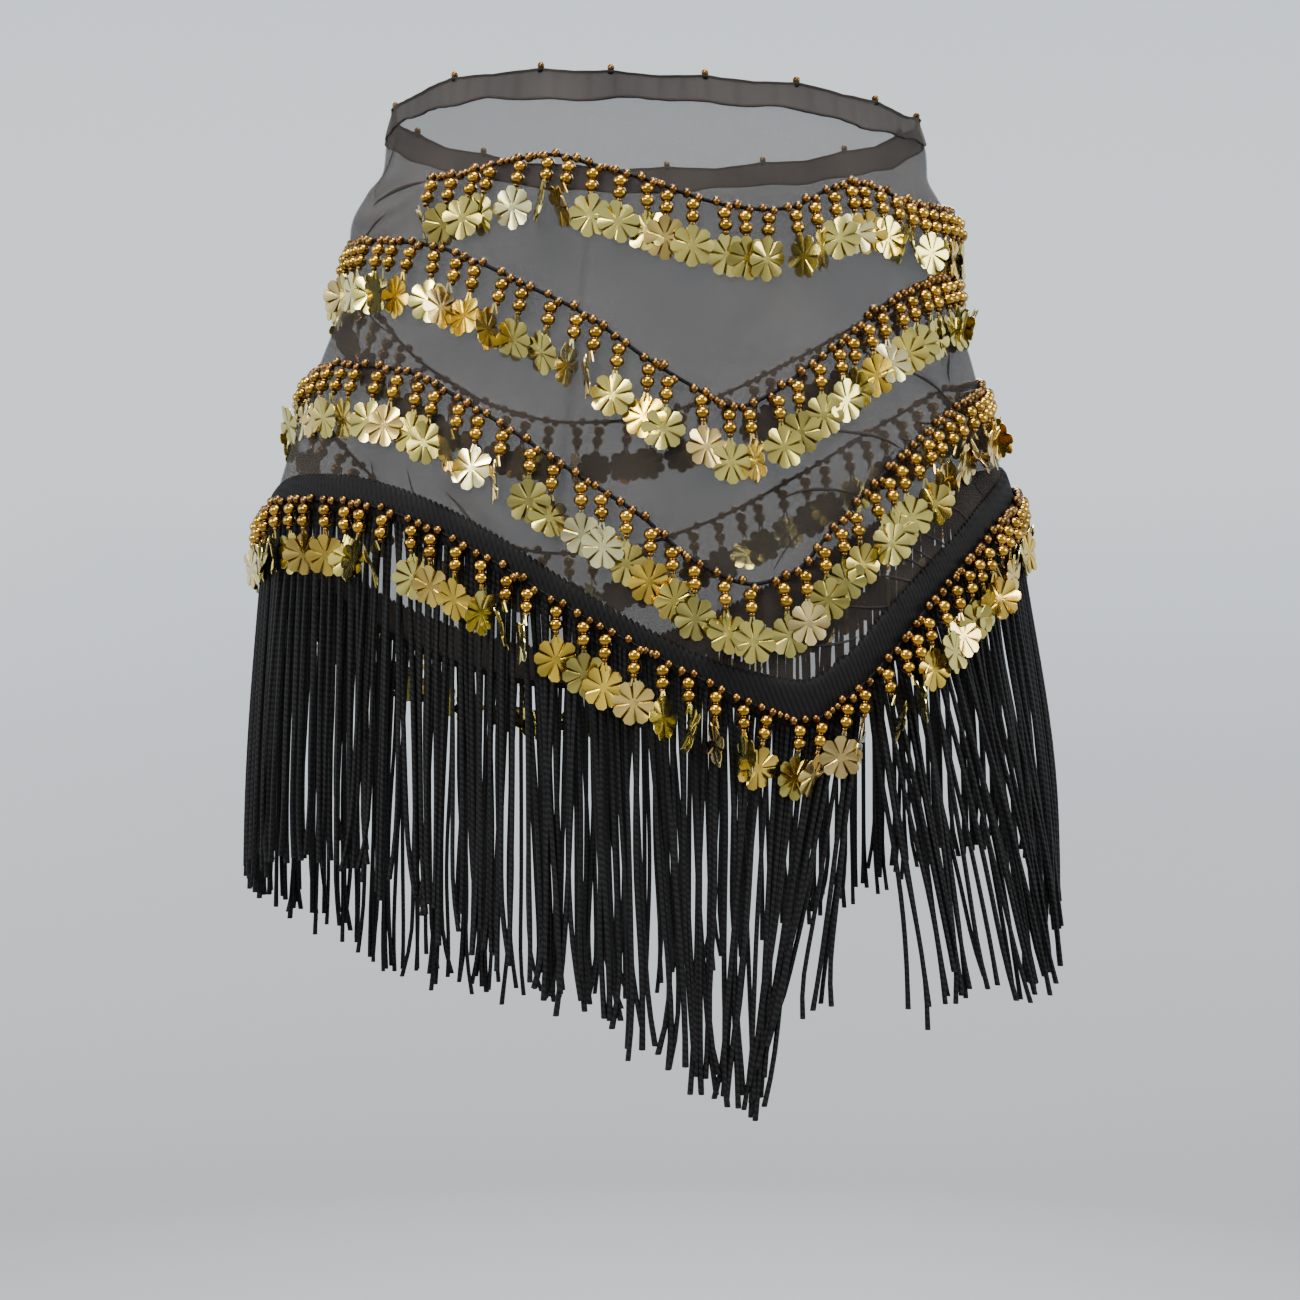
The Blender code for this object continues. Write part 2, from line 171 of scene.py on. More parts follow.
def onForm(angle, level, out=0.0):
    # Ellipse point (c + a sin, -b cos, level), moved out along the normal by out and the slack
    angle, level = np.broadcast_arrays(np.asarray(angle, float), np.asarray(level, float))
    turn = np.radians(angle)
    base = np.stack([sectionAt(3, level) + sectionAt(1, level) * np.sin(turn),
                     -sectionAt(2, level) * np.cos(turn), level], -1)
    return base + outOf(angle, level) * (slackAt(angle, level) + out)[..., None]


def lineLength(name, start, end):
    # Length of a line up to each of many angles: the sum of the steps between its points
    angle = np.linspace(start, end, 2401)
    points = onForm(angle, lineLevel(name, angle))
    return angle, np.concatenate([[0], np.cumsum(np.linalg.norm(np.diff(points, axis=0), axis=1))])


def anglesAlong(name, start, end, shares):
    # Angles at given shares of a line's own length
    angle, length = lineLength(name, start, end)
    return np.interp(np.asarray(shares) * length[-1], length, angle)


def addObject(name, data):
    # An object in the scene's own collection
    made = bpy.data.objects.new(name, data)
    bpy.context.scene.collection.objects.link(made)
    return made


def makePiece(name, points, faceSets, material, nodes, uv=None, wrap=0, marks=None, sharp=None):
    # Fills one mesh from whole arrays: faceSets holds arrays of equal-sided faces
    mesh = bpy.data.meshes.new(name)
    points = np.asarray(points, float).reshape(-1, 3)
    corners = np.concatenate([f.ravel() for f in faceSets]).astype(np.int32)
    sizes = np.concatenate([np.full(len(f), f.shape[1]) for f in faceSets])
    mesh.vertices.add(len(points))
    mesh.vertices.foreach_set("co", points.astype(np.float32).ravel())
    mesh.loops.add(len(corners))
    mesh.loops.foreach_set("vertex_index", corners)
    mesh.polygons.add(len(sizes))
    firsts = np.concatenate([[0], np.cumsum(sizes)[:-1]])
    mesh.polygons.foreach_set("loop_start", firsts.astype(np.int32))
    mesh.update(calc_edges=True)
    if uv is not None:
        flat = np.asarray(uv, float).reshape(-1, 2)[corners]
        if wrap:  # faces over the seam take the far end's value
            owner = np.repeat(np.arange(len(sizes)), sizes)
            top = np.zeros(len(sizes))
            np.maximum.at(top, owner, flat[:, 0])
            flat[:, 0] += wrap * ((top[owner] - flat[:, 0]) > wrap / 2)
        mesh.uv_layers.new(name="surface").data.foreach_set("uv", flat.astype(np.float32).ravel())
    for key, values in (marks or {}).items():
        attribute = mesh.attributes.new(key, "FLOAT", "POINT")
        attribute.data.foreach_set("value", np.asarray(values, np.float32).ravel())
    mesh.shade_smooth()
    if sharp:
        mesh.set_sharp_from_angle(angle=math.radians(sharp))
    mesh.validate()
    piece = addObject(name, mesh)
    mesh.materials.append(material)
    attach(piece, "root")
    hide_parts(*nodes)
    return piece


def gridFaces(rows, cols, closedCols, start=0, flip=False):
    # Quads of a rows x cols grid, joined end to end along a row when closed
    a = np.arange(rows * cols).reshape(rows, cols) + start
    b = np.roll(a, -1, axis=1)
    if not closedCols:
        a, b = a[:, :-1], b[:, :-1]
    quads = np.stack([a[:-1], b[:-1], b[1:], a[1:]], -1).reshape(-1, 4)
    return quads[:, ::-1] if flip else quads


def ringShell(name, around, level, inside, outside, line, material, node, marks=None):
    # Closed wall of a tube: the form moved out by inside and by outside, with a rim at each edge;
    # row 0 is the top, and the map's first coordinate is the length along a sewn line
    rows, cols = level.shape
    n = rows * cols
    top, topNext = np.arange(cols), np.roll(np.arange(cols), -1)
    low, lowNext = top + n - cols, topNext + n - cols
    faces = [gridFaces(rows, cols, True, n, flip=True), gridFaces(rows, cols, True, 0),
             np.stack([top, top + n, topNext + n, topNext], -1),
             np.stack([low, lowNext, lowNext + n, low + n], -1)]
    both = np.concatenate([onForm(around, level, out).reshape(-1, 3) for out in (inside, outside)])
    length = lineLength(line, *allRound)
    uv = np.stack([np.interp(around, *length), level], -1).reshape(-1, 2)
    marks = {key: np.tile(values.ravel(), 2) for key, values in (marks or {}).items()}
    return makePiece(name, both, faces, material, [node], np.tile(uv, (2, 1)), length[1][-1], marks)


def tubes(paths, radius, sides, across, out, closed=False):
    # Rings round each path's points: point + r (cos across + sin out); ends capped when open
    lots, rings = paths.shape[:2]
    turn = np.arange(sides) / sides * 2 * np.pi
    spokes = (np.cos(turn)[:, None] * across[..., None, :] + np.sin(turn)[:, None] * out[..., None, :])
    points = paths[..., None, :] + spokes * np.asarray(radius)[..., None, None]
    index = np.arange(lots * rings * sides).reshape(lots, rings, sides)
    beside = np.roll(index, -1, axis=2)
    below = np.roll(index, -1, axis=1)
    belowBeside = np.roll(beside, -1, axis=1)
    cut = slice(None) if closed else slice(0, rings - 1)
    quads = np.stack([index[:, cut], beside[:, cut], belowBeside[:, cut], below[:, cut]], -1).reshape(-1, 4)
    caps = [] if closed else [index[:, 0, ::-1], index[:, -1]]
    turned = np.broadcast_to(np.arange(sides) / sides, (lots, rings, sides))
    return points.reshape(-1, 3), [quads, *caps], turned


def facingOut(points, faceSets):
    # Turns all faces round if the closed shape's signed volume is negative
    volume = 0.0
    for f in faceSets:
        for k in range(1, f.shape[1] - 1):
            a, b, c = points[f[:, 0]], points[f[:, k]], points[f[:, k + 1]]
            volume += np.einsum("ij,ij->i", a, np.cross(b, c)).sum()
    return faceSets if volume > 0 else [f[:, ::-1] for f in faceSets]


def scatter(shapePoints, shapeFaces, middles, axes):
    # One joined mesh of copies: middle + axes times each of the shape's own points
    points = middles[:, None, :] + np.einsum("nij,kj->nki", axes, shapePoints)
    step = len(shapePoints)
    shift = np.arange(len(middles))[:, None, None] * step
    return points, [(f[None] + shift).reshape(-1, f.shape[1]) for f in shapeFaces]


class Wire:
    # One socket of a node tree; sums and products of wires add Math nodes
    def __init__(self, tree, socket=None):
        self.tree, self.socket = tree, socket

    def node(self, kind, settings=None, out=0, **values):
        # Settings first, then a value or wire for each input, by its name or as i and its number
        made = self.tree.nodes.new(kind)
        for key, value in (settings or {}).items():
            if key == "stops":
                ramp = made.color_ramp
                while len(ramp.elements) < len(value):
                    ramp.elements.new(1)
                for stop, (place, colour) in zip(ramp.elements, value):
                    stop.position, stop.color = place, (*colour, 1)
            else:
                setattr(made, key, value)
        for key, value in values.items():
            socket = made.inputs[int(key[1:]) if key[1:].isdigit() else key.replace("_", " ")]
            if isinstance(value, Wire):
                self.tree.links.new(value.socket, socket)
            else:
                socket.default_value = value
        return Wire(self.tree, made.outputs[out])

    def maths(self, kind, a, b=0.0):
        return self.node("ShaderNodeMath", {"operation": kind}, i0=a, i1=b)

    def __add__(self, b):
        return self.maths("ADD", self, b)

    def __radd__(self, b):
        return self.maths("ADD", b, self)

    def __sub__(self, b):
        return self.maths("SUBTRACT", self, b)

    def __rsub__(self, b):
        return self.maths("SUBTRACT", b, self)

    def __mul__(self, b):
        return self.maths("MULTIPLY", self, b)

    def __rmul__(self, b):
        return self.maths("MULTIPLY", b, self)

    def __pow__(self, b):
        return self.maths("POWER", self, b)

    def sine(self):
        return self.maths("SINE", self)

    def held(self):  # kept between 0 and 1
        return self.node("ShaderNodeClamp", i0=self)

    def mix(self, a, b):  # colour a at 0, colour b at 1
        return self.node("ShaderNodeMix", {"data_type": "RGBA"}, 2, i0=self, i6=a, i7=b)

    def part(self, number):
        return self.node("ShaderNodeSeparateXYZ", out=number, Vector=self)

    def noise(self, scale, detail=2.0):
        return self.node("ShaderNodeTexNoise", Vector=self, Scale=scale, Detail=detail)

    def bump(self, distance, strength):
        return self.node("ShaderNodeBump", Height=self, Distance=distance, Strength=strength)

    def place(self):  # object coordinates
        return self.node("ShaderNodeTexCoord", out=3)

    def surface(self):  # both coordinates of the piece's own map
        uv = self.node("ShaderNodeUVMap", {"uv_map": "surface"})
        return uv.part(0), uv.part(1)

    def mark(self, name):  # a value stored at the mesh's points
        return self.node("ShaderNodeAttribute", {"attribute_name": name}, 2)


def newFinish(name):
    # A material, a first wire of its tree, and a way to plug values and wires into its shader
    material = bpy.data.materials.new(name)
    material.use_nodes = True
    tree = material.node_tree
    shader = tree.nodes["Principled BSDF"]

    def plug(**values):
        for key, value in values.items():
            socket = shader.inputs[key.replace("_", " ")]
            if isinstance(value, Wire):
                tree.links.new(value.socket, socket)
            else:
                socket.default_value = value
    return material, Wire(tree), plug


clothFinish = {
    "colour": (0.018, 0.014, 0.012, 1), "dusty": (0.056, 0.046, 0.040, 1),
    "cover": 0.44, "coverVaries": 0.08, "foldCover": 0.42,  # alpha of each of the wall's two faces
    "hemCover": 0.79, "pinchCover": 0.82, "grain": 1100.0, "cloud": 26.0, "net": 5200.0,
}


def sheerFinish(name, cover):
    # Alpha is the yarn's cover, with a fine net of crossed sines, a little noise and what the folds add
    material, start, plug = newFinish(name)
    place, fold = start.place(), start.mark("fold")
    across, down = start.surface()
    grain, cloudy = place.noise(clothFinish["grain"], 0.0), place.noise(clothFinish["cloud"], 1.0)
    net = (across * clothFinish["net"]).sine() * (down * clothFinish["net"]).sine()
    plug(Base_Color=(cloudy * 1.6 - 0.3).held().mix(clothFinish["colour"], clothFinish["dusty"]),
         Roughness=(0.66 + 0.2 * grain), Specular_IOR_Level=0.1,
         Alpha=(cover + (grain - 0.5) * 0.05 + (cloudy - 0.5) * clothFinish["coverVaries"]
                + net * 0.03 + fold * clothFinish["foldCover"]).held(),
         Normal=(grain * 0.5 + net * 0.5).bump(0.00004, 0.12))
    return material


goldFinish = {
    # plating at its darkest and lightest, roughness
    "bead": ((0.085, 0.036, 0.005, 1), (0.63, 0.36, 0.042, 1), 0.07),
    "small": ((0.045, 0.020, 0.006, 1), (0.27, 0.140, 0.038, 1), 0.18),
    # place and colour of each tone that a flower can have, and the colour of the painted shade along its
    # pressed strokes and in its grooves
    "flower": ((0.0, (0.50, 0.41, 0.10)), (0.38, (0.67, 0.59, 0.18)), (0.62, (0.80, 0.54, 0.06)),
               (0.80, (0.73, 0.53, 0.20)), (1.0, (0.88, 0.82, 0.42))),
    "strokeAndShade": (0.16, 0.10, 0.010, 1),
    "petals": 8,
}


def beadFinish(name, dark, light, rough):
    # Polished plating: each bead has its own tone, with faint pitting and a duller band at the holes; the
    # colour also darkens towards the holes as painted shade where neighbouring beads meet
    material, start, plug = newFinish(name)
    place, tone, hole = start.place(), start.mark("tone"), start.mark("hole")
    pits, smear = place.noise(1500.0), place.noise(240.0)
    plug(Base_Color=(0.35 + tone * 0.5 + smear * 0.4 - hole).held().mix(dark, light), Metallic=1.0,
         Roughness=(rough + smear * 0.12 + hole * 0.15), Normal=pits.bump(0.00008, 0.5))
    return material


def flowerFinish():
    # Thin pressed metal: a tone for each flower, its petals crowned by cos(8 turns) and parted by
    # pressed strokes, ((1 - cos(8 turns)) / 2) ^ 7, that fade out towards the middle; the colour darkens
    # along the strokes and in the V grooves as painted shade
    material, start, plug = newFinish("flowerGold")
    place, groove = start.place(), start.mark("groove")
    colour = start.node("ShaderNodeValToRGB", {"stops": goldFinish["flower"]}, Fac=start.mark("tone"))
    across, down = start.surface()
    reach = (across * across + down * down) ** 0.5
    petal = (across.maths("ARCTAN2", across, down) * goldFinish["petals"] + math.pi / 2).sine()
    strokeAndShade = (0.5 - petal * 0.5) ** 7.0 * (reach * 3.0 - 0.5).held()
    smear, pits = place.noise(300.0, 3.0), place.noise(1800.0, 1.0)
    # painted shade: the colour darkens in the grooves and along the strokes, and varies a little with the
    # smear
    dark = (groove * 0.4 + strokeAndShade * 0.75 + (smear - 0.5) * 0.3).held()
    plug(Base_Color=dark.mix(colour, goldFinish["strokeAndShade"]), Metallic=1.0,
         Roughness=(0.13 + smear * 0.14 + groove * 0.1),
         Normal=(petal * reach * 0.5 - strokeAndShade * 0.6 + smear * 0.4 + pits * 0.1).bump(0.0003, 0.4))
    return material


yarn = {
    # twist along and slant round it, in radians; colour in the hollows and on the ridges, the hollows darker
    # as painted shade between the plies
    "cordBlack": (2600.0, 6.283, (0.002, 0.002, 0.002, 1), (0.010, 0.009, 0.010, 1)),
    "braidBlack": (2513.0, 900.0, (0.0022, 0.0020, 0.0020, 1), (0.0090, 0.0084, 0.0084, 1)),
    "fringeBlack": (2400.0, 6.283, (0.0042, 0.0041, 0.0043, 1), (0.0170, 0.0164, 0.0170, 1)),
}


def yarnFinish(name, twist, slant, hollow, ridge):
    # Black twisted yarn: slanting plies from sin(twist x along + slant x round), a little lint on the ridges;
    # the colour is darker in the hollows between plies as painted shade, and lighter on the ridges where the
    # lint is
    material, start, plug = newFinish(name)
    along, turned = start.surface()
    lint = start.place().noise(900.0)
    ply = (along * twist + turned * slant).sine() * 0.5 + 0.5
    # painted shade: the colour goes from the hollow colour to the ridge colour with the ply sine, scaled by
    # the lint
    plug(Base_Color=(ply * lint * 1.1).held().mix(hollow, ridge), Roughness=(0.55 + 0.25 * lint),
         Specular_IOR_Level=0.12, Normal=(ply + lint * 0.4).bump(0.00025, 0.6))
    return material


sheerMesh = sheerFinish("sheerMesh", clothFinish["cover"])
hemMesh = sheerFinish("hemMesh", clothFinish["hemCover"])
pinchMesh = sheerFinish("pinchMesh", clothFinish["pinchCover"])
beadGold = beadFinish("beadGold", *goldFinish["bead"])
beadCopper = beadFinish("beadCopper", *goldFinish["small"])
flowerGold = flowerFinish()
cordBlack, braidBlack, fringeBlack = (yarnFinish(name, *values) for name, values in yarn.items())
print("finishes made")

# Sheer mesh and its hem
cloth = {
    "columns": 384, "rows": 112, "thick": 0.45 * mm, "lift": 0.3 * mm,
    "hemDepth": 12.0 * mm, "hemUneven": 2.0 * mm, "hemLap": 1.2 * mm,
    "hemInside": 0.05 * mm, "hemOutside": 1.35 * mm,  # how far out its two faces lie
    "foldSwell": 0.55 * mm,  # how much its fold at the top is fuller
    # soft folds: angle and level of one end, then of the other, bow sideways, width, rise, added cover
    "creases": (
        (47, -126, 58, -138, 3, 4.0, 0.7, 0.16), (29, -154, 42, -161, 2, 4.0, 0.7, 0.16),
        (21, -184, 32, -181, 3, 4.0, 0.6, 0.14), (32, -216, 40, -218, 1, 4.0, 0.6, 0.12),
        (18, -232, 28, -226, -2, 3.4, 0.5, 0.14), (60, -60, 82, -52, 4, 3.4, 0.8, 0.18),
        (63, -106, 60, -132, -2, 4.0, 0.8, 0.22), (64, -100, 80, -92, 3, 3.6, 0.8, 0.14),
        (-47, -44, -80, -48, 8, 3.4, 1.0, 0.26), (-44, -52, -90, -56, 8, 3.6, 1.0, 0.20),
        (-70, -8, -66, -46, -5, 3.4, 0.8, 0.24), (-58, -36, -86, -30, 5, 3.4, 0.8, 0.20),
        (-30, -176, -20, -205, 4, 3.6, 0.6, 0.20), (-52, -146, -39, -170, 5, 4.0, 0.6, 0.12),
        (-36, -150, -30, -172, 3, 3.4, 0.5, 0.16), (-66, -140, -58, -166, 3, 4.0, 0.7, 0.12),
        (-14, -120, -2, -150, 6, 6.0, 0.8, 0.07), (4, -160, 22, -150, 4, 6.0, 0.8, 0.07),
        (-30, -60, -12, -84, 4, 6.0, 0.7, 0.06), (30, -80, 52, -66, 4, 6.0, 0.8, 0.06),
        (96, -60, 112, -52, 3, 3.6, 0.8, 0.20), (104, -90, 124, -112, 5, 4.0, 0.8, 0.18),
        (118, -140, 132, -168, 4, 4.0, 0.7, 0.16), (150, -60, 166, -98, 6, 6.0, 0.9, 0.07),
        (-100, -70, -120, -92, 5, 4.0, 0.8, 0.18), (-108, -96, -128, -128, 5, 4.0, 0.8, 0.15),
        (-124, -150, -136, -186, 4, 4.0, 0.7, 0.16), (-160, -70, -140, -96, 6, 6.0, 0.9, 0.07),
        (-165, -16, -165, -245, 0, 1.8, 0.4, 0.16),
    ),
    # sharp pinches: angle and level of one end, then of the other, bow sideways, width
    "pinches": (
        (47, -126, 58, -138, 2.8, 1.7), (29, -154, 42, -161, 2.4, 1.7), (42, -154, 45, -157, -1.0, 1.2),
        (46, -148, 52, -148, 0.3, 1.2), (63, -113, 60, -128, -2.2, 1.8), (20, -184, 32, -181, 3.5, 1.6),
        (59, -170, 63, -180, 0.4, 1.3), (50, -185, 55, -192, 1.4, 1.4), (42, -195, 48, -204, 0.6, 1.4),
        (39, -202, 45, -209, 0.3, 1.2), (37, -207, 43, -213, 0.4, 1.5), (32, -216, 41, -218, 0.7, 1.3),
        (27, -229, 36, -228, 0.1, 1.4), (20, -246, 29, -241, -0.8, 1.5),
        (-68, -47, -49, -41, 2.8, 2.4), (-70, -64, -60, -52, 0.4, 1.6), (-70, -10, -67, -44, -4.8, 1.4),
        (-29, -180, -22, -203, 2.5, 1.3), (-45, -144, -39, -160, 2.0, 1.0),
        (98, -61, 112, -53, 2.5, 1.7), (106, -92, 122, -108, 3.5, 1.6), (119, -142, 131, -165, 3.0, 1.5),
        (128, -146, 139, -172, 2.5, 1.3), (139, -164, 149, -188, 2.0, 1.4), (149, -178, 158, -206, 1.5, 1.2),
        (-101, -71, -119, -90, 3.5, 1.7), (-110, -98, -126, -122, 3.0, 1.5),
        (-124, -151, -135, -182, 3.0, 1.5), (-133, -154, -145, -192, 2.5, 1.3),
        (-146, -171, -157, -203, 2.0, 1.4), (-156, -190, -160, -214, 1.0, 1.1),
    ),
}


def perDegree(angle, level):
    # mm along the ellipse for a degree: the size of (a cos, b sin) times pi / 180
    turn = np.radians(angle)
    return np.hypot(sectionAt(1, level) * np.cos(turn), sectionAt(2, level) * np.sin(turn)) * np.pi / 180 / mm


def creasesAt(angle, level):
    # Each crease is a bent line; its rise falls off as exp(-(d/width)^2) and fades at its ends,
    # and two slow waves run over the whole cloth
    rise, cover = np.zeros(angle.shape), np.zeros(angle.shape)
    for a0, z0, a1, z1, bow, width, high, shade in cloth["creases"]:
        step = perDegree((a0 + a1) / 2, (z0 + z1) / 2 * mm)
        turn = (angle - a0 + 180) % 360 - 180
        along, down = turn * step, level / mm - z0
        endAlong, endDown = (a1 - a0) * step, z1 - z0
        size = np.hypot(endAlong, endDown)
        share = (along * endAlong + down * endDown) / size ** 2
        t = np.clip(share, 0, 1)
        side = (down * endAlong - along * endDown) / size - bow * 4 * t * (1 - t)
        beyond = np.abs(share - t) * size
        near = np.exp(-(side ** 2 + beyond ** 2) / width ** 2) * np.sin(np.pi * (0.06 + 0.88 * t)) ** 0.6
        rise, cover = rise + high * near, np.maximum(cover, shade * near)
    turn = np.radians(angle)
    slow = np.sin(turn * 9 + level * 34) * 0.22 + np.sin(turn * 17 - level * 61) * 0.13
    return (rise + slow) * mm, cover


def clothAngles(columns):
    # Columns lie closer together over the front half
    fine = np.linspace(backSeam, backSeam + 360, 3601)
    weight = 1 + 1.0 / (1 + np.exp((np.abs(fine) - 104) / 5))
    share = np.concatenate([[0], np.cumsum((weight[1:] + weight[:-1]) / 2)])
    return np.interp(np.arange(columns) / columns * share[-1], share, fine)


def hemLow(angle):
    # Lower raw edge of the turned hem, uneven by a few slow waves
    turn = np.radians(angle)
    wave = np.sin(5 * turn + 0.6) * 0.45 + np.sin(11 * turn + 2.1) * 0.3 + np.sin(23 * turn + 4.0) * 0.25
    return lineLevel("hem", angle) - cloth["hemDepth"] + cloth["hemUneven"] * wave


hemBeads = {
    "angles": (-81, -47, -24, -9, 10, 30, 53, 81, 105, 129, 153, 177, -159, -135, -109),
    "size": 3.4 * mm, "knot": 3.0 * mm,
    "sag": 1.2 * mm, "rise": 0.6 * mm,  # of the top edge, between two beads and at each
}


def edgeDip(angle):
    # The top edge sags as (gap / 12)^2 between the sewn beads and rises as exp(-(gap / 2.2)^2) at each
    apart = np.asarray(angle)[..., None] - np.array(hemBeads["angles"])
    gap = np.min(np.abs((apart + 180) % 360 - 180), axis=-1)
    return hemBeads["rise"] * np.exp(-(gap / 2.2) ** 2) - hemBeads["sag"] * np.clip(gap / 12, 0, 1) ** 2


def makeCloth():
    # Wall between the hem's lower edge and the braid: the form moved out by the creases
    angle = clothAngles(cloth["columns"])
    top = hemLow(angle) + cloth["hemLap"]
    low = lineLevel("row4", angle) - 0.002
    share = np.linspace(0, 1, cloth["rows"])[:, None]
    level = top + (low - top) * share
    around = np.broadcast_to(angle, level.shape)
    rise, cover = creasesAt(around, level)
    fade = np.clip(share / 0.03, 0, 1)
    inside = cloth["lift"] + rise * fade
    return ringShell("clothWrap", around, level, inside, inside + cloth["thick"], "row3", sheerMesh,
                     "mesh_wrap", {"fold": cover})


def makeHem():
    # Two layers pressed together: a slim band with a rolled top, thicker than the cloth it holds
    angle = clothAngles(cloth["columns"])
    lift = edgeDip(angle)
    bottom = hemLow(angle)
    shares = np.array([0, 0.02, 0.06, 0.12, 0.25, 0.4, 0.55, 0.7, 0.85, 0.95, 1.0])[:, None]
    top = lineLevel("hem", angle) + lift
    level = top + (bottom - top) * shares
    around = np.broadcast_to(angle, level.shape)
    turn = np.radians(around)
    gather = np.sin(61 * turn + 3 * np.sin(7 * turn))
    pucker = (gather * 0.22 + np.sin(97 * turn + 1) * 0.12) * mm * (0.4 + shares)
    swell = cloth["foldSwell"] * np.exp(-(shares / 0.05) ** 2)  # the fold itself is a thin round edge
    fold = 0.9 * np.exp(-(shares / 0.045) ** 2) + 0.25 * np.exp(-((1 - shares) / 0.05) ** 2)
    fold = np.clip(fold + 0.12 * np.maximum(0, gather) ** 4, 0, 1)
    inside, outside = cloth["hemInside"] + pucker - swell, cloth["hemOutside"] + pucker + swell
    return ringShell("hemBand", around, level, inside, outside, "hem", hemMesh,
                     "top_hem", {"fold": fold})


def makePinches():
    # Sharp folds: a flattened tube over each strong crease, its width falling to nothing at both ends
    t = np.linspace(0, 1, 18)[None, :]
    a0, z0, a1, z1, bow, width = np.array(cloth["pinches"])[:, :, None].transpose(1, 0, 2)
    step = perDegree((a0 + a1) / 2, (z0 + z1) / 2 * mm)
    along, down = (a1 - a0) * step, z1 - z0
    size = np.hypot(along, down)
    bend = bow * 4 * t * (1 - t) + 0.5 * np.sin(5 * t + a0)
    angle = a0 + (along * t - down / size * bend) / step
    level = (z0 + down * t + along / size * bend) * mm
    onCloth = cloth["lift"] + cloth["thick"] + creasesAt(angle, level)[0] + 0.1 * mm
    path = onForm(angle, level, onCloth)
    out = outOf(angle, level)
    across = np.cross(unit(np.gradient(path, axis=1)), out)
    radius = 0.45 * width * mm * (0.06 + 0.94 * np.sin(np.pi * t) ** 0.6)
    points, faces, _ = tubes(path, radius, 6, across, out * 0.5)
    return makePiece("clothPinches", points, facingOut(points, faces), pinchMesh, ["mesh_wrap"],
                     uv=points[:, [0, 2]])


clothWrap = makeCloth()
clothPinches = makePinches()
hemBand = makeHem()
print("cloth made:", len(clothWrap.data.polygons), "faces")

# Beads, flowers and cords
drop = {
    # mm between drops by angle: closer on the steep right side
    "pitch": ((-165, 13.0), (-105, 12.6), (-70, 12.0), (15, 12.2), (30, 11.0), (45, 9.8), (80, 9.6),
              (115, 11.0), (150, 13.0)),
    "uneven": 0.16, "sway": 0.05,  # of the places along the row, and of each thread to one side
    "beadSize": 6.2 * mm, "smallSize": 4.4 * mm, "neckSize": 2.9 * mm, "flowerSize": 18.6 * mm,
    # how far below the line: gold beads, the small one after each, prongs, flower
    "beadFalls": (4.5 * mm, 9.6 * mm), "neckFalls": (7.2 * mm, 12.7 * mm),
    "prongFall": 14.9 * mm, "flowerFall": 24.0 * mm,
    "cordSize": 1.7 * mm, "cordStep": 2.4 * mm, "thinCord": 0.62,  # row 4's cord is thinner
    "extraPairs": 0.14,  # share of the gaps with two more small beads along the cord
    "layers": (1.9, 3.1, 4.3),  # mm that neighbouring flowers lie out, so that they overlap
    "edgeOnLift": 4.5 * mm,  # more for a flower seen edge-on
    "tones": (0.12, 0.34, 0.42, 0.66, 0.84, 0.98),
    "toneShares": (0.16, 0.27, 0.19, 0.18, 0.12, 0.08),
}
rows = {
    # start and end angle, how far its cord lies out, length and spacing of its drops
    "row1": {"span": (-48, 95), "base": 1.0 * mm, "short": 0.93, "closer": 0.90},
    "row2": {"span": allRound, "base": 1.0 * mm, "short": 1.0, "closer": 1.0},
    "row3": {"span": allRound, "base": 1.0 * mm, "short": 1.0, "closer": 1.0},
    "row4": {"span": allRound, "base": 3.9 * mm, "short": 1.0, "closer": 1.0},
}
fringe = {
    "count": 384, "sides": 6, "rings": 15, "radius": 1.12 * mm, "below": 5.0 * mm, "header": 2.5 * mm,
    # angle, length, sideways lean and outward flare per metre of drop, and how much the lean varies
    "hang": (
        (-165, 0.162, 0.00, 0.02, 0.02), (-120, 0.163, 0.00, 0.03, 0.02), (-90, 0.162, 0.00, 0.05, 0.01),
        (-75, 0.160, -0.01, 0.05, 0.01), (-60, 0.152, -0.02, 0.03, 0.01), (-45, 0.149, -0.01, 0.01, 0.02),
        (-33, 0.156, 0.00, 0.01, 0.02), (-20, 0.157, 0.01, 0.01, 0.02), (-10, 0.158, 0.03, 0.01, 0.02),
        (0, 0.162, 0.05, 0.01, 0.02), (5, 0.162, 0.04, 0.01, 0.02), (9, 0.160, 0.00, 0.01, 0.01),
        (15, 0.157, -0.07, 0.01, 0.01), (20, 0.151, -0.11, 0.01, 0.02), (23, 0.140, -0.17, 0.01, 0.02),
        (26, 0.128, -0.19, 0.01, 0.03), (28.8, 0.130, -0.16, 0.02, 0.01), (29.4, 0.134, 0.15, 0.03, 0.01),
        (34, 0.140, 0.21, 0.03, 0.04), (39, 0.157, 0.22, 0.04, 0.05), (45, 0.172, 0.21, 0.05, 0.06),
        (52, 0.180, 0.17, 0.06, 0.05), (60, 0.181, 0.13, 0.08, 0.04), (75, 0.174, 0.06, 0.11, 0.02),
        (90, 0.168, 0.02, 0.12, 0.01), (105, 0.166, 0.00, 0.10, 0.01), (125, 0.164, 0.00, 0.05, 0.02),
        (150, 0.163, 0.00, 0.02, 0.02),
    ),
    # how strands gather into locks: sideways shift, its wavelength along the braid, phase
    "locks": ((2.2, 19, 0.4), (2.4, 31, 2.0), (2.2, 53, 4.4), (1.1, 11.3, 1.0)),
}
hang = np.array(fringe["hang"])


